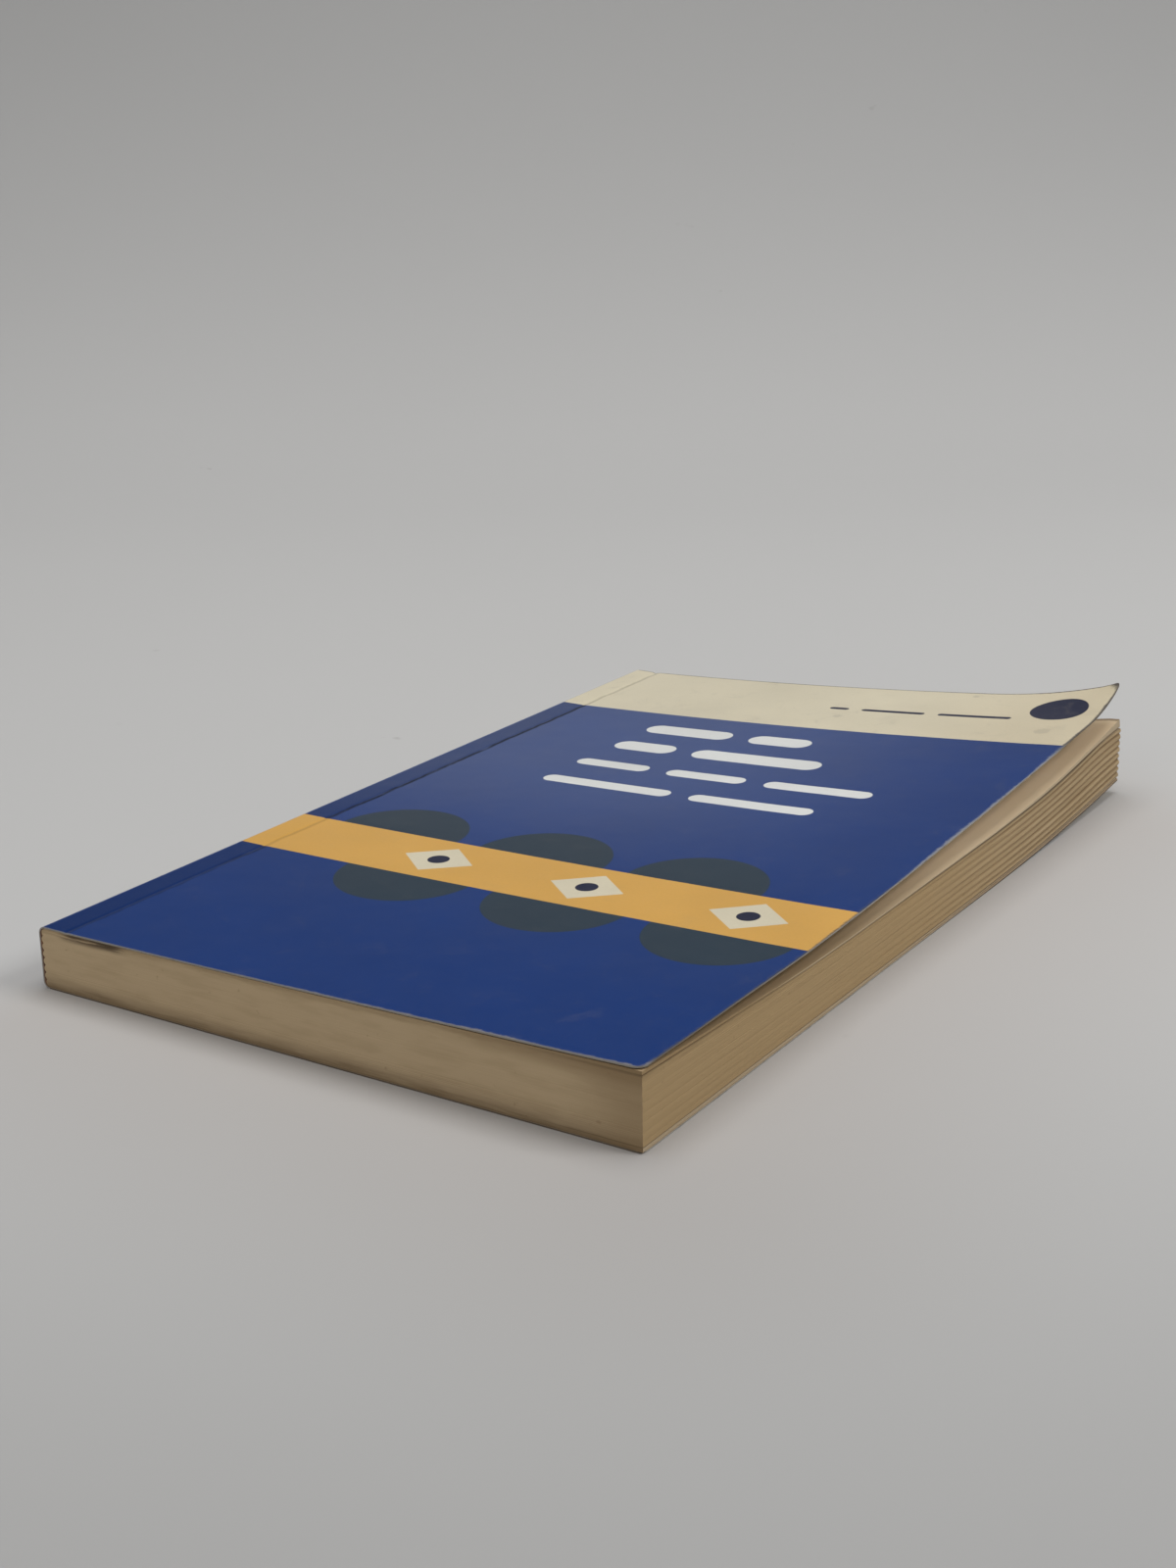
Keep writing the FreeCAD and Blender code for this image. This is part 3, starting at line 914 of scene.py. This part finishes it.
leafDice = random.Random(11)
leafOut = [leafDice.gauss(0.0, 1.0) for _ in range(leafCount)]
leafTail = [abs(leafDice.gauss(0.0, 1.0)) for _ in range(leafCount)]
leafHead = [abs(leafDice.gauss(0.0, 1.0)) for _ in range(leafCount)]
sectionOut = [leafDice.uniform(0.0, 0.45) for _ in range(book["sections"])]
sectionDepth = [leafDice.uniform(0.75, 1.25) for _ in range(book["sections"])]
leafWaves = [wobble(100 + k) for k in range(book["sections"])]


# Leaf edges come in pairs of rows, so each leaf has a face of its own and a furrow beside it.
def leafRows():
    rows = []
    for leaf in range(leafCount):
        rows.append((leaf, 0.0 if leaf == 0 else blockShape["leafFurrow"]))
        rows.append((leaf, 1.0 if leaf == leafCount - 1 else 1.0 - blockShape["leafFurrow"]))
    return rows


# The number of a leaf's section, and how far through it the place is.
def sectionOf(leaf, inLeaf):
    number, past = divmod(leaf, book["leavesInSection"])
    return number, (past + inLeaf) / book["leavesInSection"]


def foreEdgeAt(leaf, inLeaf, y):
    number, inSection = sectionOf(leaf, inLeaf)
    opened = smooth(share(y, *blockShape["ridgesAlong"]))
    depth = blockShape["ridgeTail"] + (blockShape["ridgeHead"] - blockShape["ridgeTail"]) * opened
    depth *= sectionDepth[number]
    ridge = depth * (2 * inSection - 1) ** 2 + depth * sectionOut[number]
    waveShare, waveLength = blockShape["ridgeWave"]
    ridge += waveShare * depth * leafWaves[number](y / waveLength)
    tailJitter, headJitter = blockShape["leafJitter"]
    jitter = tailJitter + (headJitter - tailJitter) * y / height
    out = width - blockShape["trim"] - ridge - jitter * min(abs(leafOut[leaf]), 2.0)
    if leaf in (blockShape["partedTop"], blockShape["partedFoot"]):
        out -= blockShape["partedDepth"] * (0.4 + 0.6 * share(y, *blockShape["partedAlong"]))
    return out


def spineBackAt(leaf, inLeaf):
    crest = card + blockShape["glueFilm"]
    number, inSection = sectionOf(leaf, inLeaf)
    back = crest + blockShape["foldDepth"] * (2 * inSection - 1) ** 2
    if number == 0 and inSection < 0.5:
        back = max(back, crest + (book["fold"] - crest) * (1 - 2 * inSection) ** 2)
    if number == book["sections"] - 1 and inSection > 0.5:
        back = max(back, crest + (book["fold"] - crest) * (2 * inSection - 1) ** 2)
    return back


# Leaves lie evenly from foot to top, but for the topmost, which spread out at the fore-edge.
def leafHeight(place, x, y):
    shape = blockShape
    foot, top = footAt(x, y), topAt(x, y)
    droop = shape["rollOff"] * share(y, *shape["rollAlong"])
    top -= droop * share(x, width - shape["rollWidth"], shape["rollWidth"]) ** 2
    even = foot + (top - foot) * place / leafCount
    parted, closed = shape["partedTop"], shape["partedShare"]
    loose = leafCount - parted
    middle, atTail, nearHead, atCorner = shape["partedRise"]
    spread = middle + atTail * share(height - y, height - shape["spreadTail"], shape["spreadTail"]) ** 2
    headward, cornerward = share(y, *shape["spreadNearHead"]), share(y, *shape["spreadCorner"])
    spread += nearHead * headward + atCorner * cornerward ** 2
    nominal = (top - foot) * loose / leafCount
    extra = max(spread - nominal, 0.0) * share(x, width - shape["spreadReach"], shape["spreadReach"])
    if place <= parted:
        return even - extra * place / parted
    past = place - parted
    lifted = past * closed if past < 1 else closed + (past - 1) * (1 - closed) / (loose - 1)
    return top - (nominal + extra) * (1 - lifted)


def blockPoint(u, v, row):
    leaf, inLeaf = row
    tail = blockShape["endJitter"] * leafTail[leaf]
    head = height - blockShape["endJitter"] * leafHead[leaf]
    y = tail + (head - tail) * v
    spineX = spineBackAt(leaf, inLeaf)
    edgeX = foreEdgeAt(leaf, inLeaf, y)
    x = spineX + (edgeX - spineX) * u
    return inFrame(x, y, leafHeight(leaf + inLeaf, x, y))


def makePageBlock():
    rows = leafRows()
    top, foot = rows[-1], rows[0]
    alongSteps = stepsThrough((0.0, 1.0), (84,))
    acrossSteps = stepsThrough((0.0, 0.004, 0.010, 0.02, 0.05, 0.55, 1.0), (1, 1, 1, 1, 10, 24))
    bm = bmesh.new()
    uvLayer = bm.loops.layers.uv.new("millimetres")
    foreEdge = [[blockPoint(1.0, v, row) for v in alongSteps] for row in rows]
    foreUv = [[(v * height, sum(row)) for v in alongSteps] for row in rows]
    addGrid(bm, uvLayer, foreEdge, foreUv, 0)
    for v, index in ((0.0, 1), (1.0, 0)):
        end = [[blockPoint(u, v, row) for u in acrossSteps] for row in rows]
        endUv = [[(u * width, sum(row)) for u in acrossSteps] for row in rows]
        addGrid(bm, uvLayer, end, endUv, index)
    for row in (top, foot):
        face = [[blockPoint(u, v, row) for u in acrossSteps] for v in alongSteps]
        faceUv = [[(u * width, v * height) for u in acrossSteps] for v in alongSteps]
        addGrid(bm, uvLayer, face, faceUv, 2)
    spine = [[blockPoint(0.0, v, row) for v in alongSteps] for row in rows]
    addGrid(bm, uvLayer, spine, foreUv, 0)
    return finishMesh("pageBlock", bm, [foreEdgeMaterial, tailEdgeMaterial, leafFaceMaterial])


pageBlock = makePageBlock()
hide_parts("page_block")
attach(pageBlock, "book_block")
print("page block:", len(pageBlock.data.polygons), "faces")


# A thin sheet between its upper face, upperAt(s, t), and a lower face one thickness beneath.
def makeSheet(name, acrossSteps, alongSteps, upperAt, lowerAt, uvAt, materials):
    bm = bmesh.new()
    uvLayer = bm.loops.layers.uv.new("millimetres")
    upper = [[upperAt(s, t) for s in acrossSteps] for t in alongSteps]
    lower = [[lowerAt(s, t) for s in acrossSteps] for t in alongSteps]
    flat = [[uvAt(s, t) for s in acrossSteps] for t in alongSteps]
    addGrid(bm, uvLayer, upper, flat, 0)
    addGrid(bm, uvLayer, lower, flat, 1)
    for line in (0, -1):
        addGrid(bm, uvLayer, [upper[line], lower[line]], [flat[line], flat[line]], 2)
        side = [[row[line] for row in upper], [row[line] for row in lower]]
        sideUv = [[row[line] for row in flat]] * 2
        addGrid(bm, uvLayer, side, sideUv, 2)
    return finishMesh(name, bm, materials)


# How each cover lies, in millimetres.
frontShape = {
    "riseTail": 2.5,
    "riseHead": 10.8,
    "curlStart": 55.0,
    "curlPower": 1.4,
    "tipRise": 3.2,
    "tipWidth": 32.0,
    "tipLength": 20.0,
    "earRise": 0.4,  # the very tip, bent up a little more
    "earReach": 5.0,
    "scoreDepth": 0.08,
    "scoreWidth": 0.45,
    "cornerRound": (2.2, 1.3),  # at the tail and at the head
    "nickDepth": 0.7,
    "nickWidth": 0.9,
    "nickLength": 3.0,
    "ripple": 0.07,
    "rippleLength": (30.0, 18.0),  # along the fore-edge and along the ends
    "rippleFade": 40.0,  # it dies out this far from the head
}
backShape = {"cornerRound": (1.4, 1.0)}
edgeRipple = wobble(31, 6)
endRipple = wobble(37, 6)


def coverRise(y):
    along = share(y, frontShape["curlStart"], height - frontShape["curlStart"])
    spread = frontShape["riseHead"] - frontShape["riseTail"]
    return frontShape["riseTail"] + spread * along ** frontShape["curlPower"]


# Rise of the front cover above its closed place.
def frontRise(x, y):
    reach = share(x, book["score"], panel)
    rise = coverRise(y) * opening(x)
    tipAcross = share(x, width - frontShape["tipWidth"], frontShape["tipWidth"])
    tipAlong = share(y, height - frontShape["tipLength"], frontShape["tipLength"])
    rise += frontShape["tipRise"] * tipAcross ** 2 * tipAlong ** 2
    toTip = frontShape["earReach"] - math.hypot(width - x, height - y)
    rise += frontShape["earRise"] * share(toTip, 0.0, frontShape["earReach"]) ** 2
    ripple = frontShape["ripple"] * reach * share(height - y, 0.0, frontShape["rippleFade"])
    edgeLength, endLength = frontShape["rippleLength"]
    rise += ripple * (edgeRipple(y / edgeLength) + reach * endRipple(x / endLength))
    return rise


def scoreDip(x):
    return frontShape["scoreDepth"] * math.exp(-((x - book["score"]) / frontShape["scoreWidth"]) ** 2)


# Worn corners: what lies outside the round is drawn back onto it.
def roundCorner(x, y, radii):
    for cornerY, inward, radius in ((0.0, 1.0, radii[0]), (height, -1.0, radii[1])):
        dx = x - (width - radius)
        dy = (cornerY + inward * radius - y) * inward
        away = math.hypot(dx, dy)
        if dx > 0 and dy > 0 and away > radius:
            x = width - radius + dx * radius / away
            y = cornerY + inward * (radius - dy * radius / away)
    return x, y


def frontPoint(x, y, drop):
    nick = frontShape["nickDepth"] * math.exp(-((x - book["score"]) / frontShape["nickWidth"]) ** 2)
    x, y = roundCorner(x, y, frontShape["cornerRound"])
    y -= nick * share(y, height - frontShape["nickLength"], frontShape["nickLength"]) ** 2
    rise = frontRise(x, y)
    reach = share(x, book["score"], panel)
    drawnIn = rise ** 2 / (2 * panel) * reach
    return inFrame(x - drawnIn, y, thickness + rise - scoreDip(x) - drop)


def backLift(x, y):
    return blockShape["footLift"] * headCurl(y) * across(x)


def backPoint(x, y, drop):
    x, y = roundCorner(x, y, backShape["cornerRound"])
    return inFrame(x, y, backLift(x, y) + drop)


def plainUv(x, y):
    return (x, y)


# The covers' meshes are finest at the score, at the rims and near the head.
coverMesh = {"rim": 2.4, "scoreReach": 1.2, "headReach": 26.0}
rim, scoreReach = coverMesh["rim"], coverMesh["scoreReach"]
acrossCover = stepsThrough(
    (book["fold"], book["score"] - scoreReach, book["score"] + scoreReach, width - rim, width),
    (6, 16, 70, 10),
)
lengthSteps = stepsThrough(
    (0.0, rim, height - coverMesh["headReach"], height - rim, height), (10, 100, 30, 10),
)
frontCover = makeSheet(
    "frontCover", acrossCover, lengthSteps,
    lambda x, y: frontPoint(x, y, 0.0), lambda x, y: frontPoint(x, y, card),
    plainUv, [frontPrintMaterial, insideMaterial, cutMaterial],
)
backCover = makeSheet(
    "backCover", acrossCover, lengthSteps,
    lambda x, y: backPoint(x, y, 0.0), lambda x, y: backPoint(x, y, card),
    plainUv, [backPrintMaterial, insideMaterial, backCutMaterial],
)

# The spine panel with its two folds, from the front strip round to the back strip.
spineShape = {"foldSteps": 10, "panelSteps": 12}


# Place, direction and length travelled, from the front strip's end to the back strip's.
def spineRoute():
    fold, straight, quarter = book["fold"], thickness - 2 * book["fold"], math.pi / 2
    turns = [quarter * k / spineShape["foldSteps"] for k in range(spineShape["foldSteps"] + 1)]
    route = []
    for turn in turns:
        x, z = fold - fold * math.sin(turn), thickness - fold + fold * math.cos(turn)
        route.append((x, z, turn, turn * fold))
    for k in range(1, spineShape["panelSteps"]):
        down = straight * k / spineShape["panelSteps"]
        route.append((0.0, thickness - fold - down, quarter, quarter * fold + down))
    for turn in turns:
        x, z = fold - fold * math.cos(turn), fold - fold * math.sin(turn)
        route.append((x, z, quarter + turn, quarter * fold + straight + turn * fold))
    return route


route = spineRoute()


def spinePoint(step, y, inward):
    x, z, angle, _ = route[step]
    return inFrame(x + inward * math.sin(angle), y, z - inward * math.cos(angle))


spineCard = makeSheet(
    "spineCard", list(range(len(route))), lengthSteps,
    lambda s, y: spinePoint(s, y, 0.0), lambda s, y: spinePoint(s, y, card),
    lambda s, y: (book["fold"] - route[s][3], y), [backPrintMaterial, insideMaterial, cutMaterial],
)

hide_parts("front_cover")
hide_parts("back_cover")
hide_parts("spine_cover")
for piece, body, z in ((frontCover, "front_cover", thickness), (backCover, "back_cover", 0.0)):
    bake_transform(piece)
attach(spineCard, "book_block")
print("covers made")


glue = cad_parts["spine_glue"]
glue.data.materials.clear()
glue.data.materials.append(glueMaterial)
print("glue made")


# A pale seamless sweep: level, then rising far behind the book.
sweep = {
    "near": -3.0, "bend": 0.42, "radius": 0.85, "turn": 66.0, "side": 3.5, "heading": 33.2,
    "colour": (0.550, 0.544, 0.533),
    "farShade": (520.0, 1150.0, 1.0, 0.75),  # from and to millimetres beyond the book, and how dark
    "nearShade": (-10.0, -310.0, 1.0, 0.72),
    "fleck": (0.30, 0.28, 0.26),
    "floorShadeTint": (0.922, 0.893, 0.875),  # painted shade: what the page edges' warm bounce and shadow leave of the floor's colour
    "floorShadeReach": 0.085,
}


def makeSweep():
    material, tree, shader = startMaterial("paleSweep")
    around = tree.nodes.new("ShaderNodeTexCoord").outputs["Object"]
    cloud = noise(tree, around, 2.2, 3.0, 0.5)
    depth = flatPlace(tree)[2]
    shade = scale(tree, cloud, 0.05, 0.97)
    shade = fade(tree, shade, depth, *sweep["farShade"])
    shade = fade(tree, shade, depth, *sweep["nearShade"])
    colour = dim(tree, sweep["colour"], shade)
    dust = patches(tree, around, (75.0, 2.0, 0.5), 0.745, 0.80, 0.0, 0.45)
    dust = times(tree, dust, patches(tree, around, (5.0, 2.0, 0.5), 0.50, 0.62))
    colour = blend(tree, dust, colour, sweep["fleck"])
    # Painted shade: a warm, darker tone painted on the floor beside the tail and the fore-edge, for the
    # page edges' bounce and contact shadow.
    split = tree.nodes.new("ShaderNodeSeparateXYZ")
    tree.links.new(around, split.inputs[0])
    halfWidth, halfHeight = width / 2 / toMm, height / 2 / toMm
    out = larger(tree, minus(tree, split.outputs[0], halfWidth), 0.0)
    down = larger(tree, minus(tree, -halfHeight, split.outputs[1]), 0.0)
    away = distance(tree, out, down)
    floorShade = ramp(tree, away, 0.0, sweep["floorShadeReach"], 1.0, 0.0)
    floorShade = fade(tree, floorShade, split.outputs[0], -halfWidth - 0.02, -halfWidth + 0.01)
    floorShade = fade(tree, floorShade, split.outputs[1], halfHeight + 0.03, halfHeight - 0.03)
    floorShadeColour = blend(tree, floorShade, (1.0, 1.0, 1.0), sweep["floorShadeTint"])
    colour = blend(tree, 1.0, colour, floorShadeColour, "MULTIPLY")
    feed(tree, shader.inputs["Base Color"], colour)
    feed(tree, shader.inputs["Roughness"], scale(tree, cloud, 0.1, 0.82))
    shader.inputs["Specular IOR Level"].default_value = 0.2
    profile = [(sweep["near"], 0.0), (sweep["bend"], 0.0)]
    steps = 24
    for k in range(1, steps + 1):
        angle = math.radians(sweep["turn"]) * k / steps
        back = sweep["bend"] + sweep["radius"] * math.sin(angle)
        profile.append((back, sweep["radius"] * (1 - math.cos(angle))))
    bm = bmesh.new()
    uvLayer = bm.loops.layers.uv.new("millimetres")
    sides = (-sweep["side"], sweep["side"])
    rows = [[Vector((x, y, z)) for x in sides] for y, z in profile]
    uvs = [[(x * toMm, y * toMm) for x in sides] for y, z in profile]
    addGrid(bm, uvLayer, rows, uvs, 0)
    return finishMesh("sweep", bm, [material], 90.0)


backdrop = makeSweep()
backdrop.data.transform(Matrix.Rotation(math.radians(sweep["heading"]), 4, "Z"))

# The camera, fitted to the book's corners and edges in the photograph.
view = {
    "azimuth": 33.176,
    "elevation": 17.881,
    "roll": -1.08,
    "place": (305.21, -274.56, 167.02),  # from the spine's foot at the tail
    "focalPixels": 2276.5,
    "framePixels": 1600,
    "sensor": 36.0,
}


def makeCamera():
    azimuth, elevation, roll = (math.radians(view[key]) for key in ("azimuth", "elevation", "roll"))
    forward = Vector((
        -math.sin(azimuth) * math.cos(elevation),
        math.cos(azimuth) * math.cos(elevation),
        -math.sin(elevation),
    ))
    right = forward.cross(Vector((0, 0, 1))).normalized()
    up = right.cross(forward)
    rolledRight = right * math.cos(roll) + up * math.sin(roll)
    rolledUp = up * math.cos(roll) - right * math.sin(roll)
    data = bpy.data.cameras.new("photoCamera")
    data.sensor_width = view["sensor"]
    data.lens = view["focalPixels"] / view["framePixels"] * view["sensor"]
    data.clip_start = 0.01
    camera = bpy.data.objects.new("photoCamera", data)
    turned = Matrix((rolledRight, rolledUp, -forward)).transposed().to_4x4()
    camera.matrix_world = Matrix.Translation(inFrame(*view["place"])) @ turned
    bpy.context.scene.collection.objects.link(camera)
    bpy.context.scene.camera = camera


makeCamera()

# Soft studio light: a panel overhead, one from the right that reaches under the sprung cover,
# a weak one in front and a dim surround.
lights = {
    "overhead": {"place": (-0.05, 0.15, 1.30), "size": 1.1, "power": 9.8, "aim": (-0.05, 0.15, 0.0)},
    "right": {"place": (0.95, 0.26, 0.90), "size": 0.5, "power": 6.0, "aim": (0.0, 0.0, 0.0)},
    "front": {"place": (-0.25, -1.20, 0.50), "size": 0.9, "power": 2.7, "aim": (0.0, 0.0, 0.0)},
}
surround = {"colour": (0.97, 0.98, 1.0), "brightness": (0.15, 0.95, 0.13, 0.24)}  # grows upwards


def makeLights():
    for name, setup in lights.items():
        data = bpy.data.lights.new(name, "AREA")
        data.shape = "SQUARE"
        data.size = setup["size"]
        data.energy = setup["power"]
        lamp = bpy.data.objects.new(name, data)
        lamp.location = setup["place"]
        aim = Vector(setup["aim"]) - Vector(setup["place"])
        lamp.rotation_euler = aim.to_track_quat("-Z", "Y").to_euler()
        bpy.context.scene.collection.objects.link(lamp)
    world = bpy.data.worlds.new("surround")
    world.use_nodes = True
    tree = world.node_tree
    background = tree.nodes["Background"]
    background.inputs["Color"].default_value = (*surround["colour"], 1.0)
    direction = tree.nodes.new("ShaderNodeTexCoord")
    split = tree.nodes.new("ShaderNodeSeparateXYZ")
    tree.links.new(direction.outputs["Generated"], split.inputs[0])
    brightness = ramp(tree, split.outputs[2], *surround["brightness"])
    tree.links.new(brightness, background.inputs["Strength"])
    bpy.context.scene.world = world
    bpy.context.scene.view_settings.view_transform = "Standard"


makeLights()
print("stage, camera and lights made")
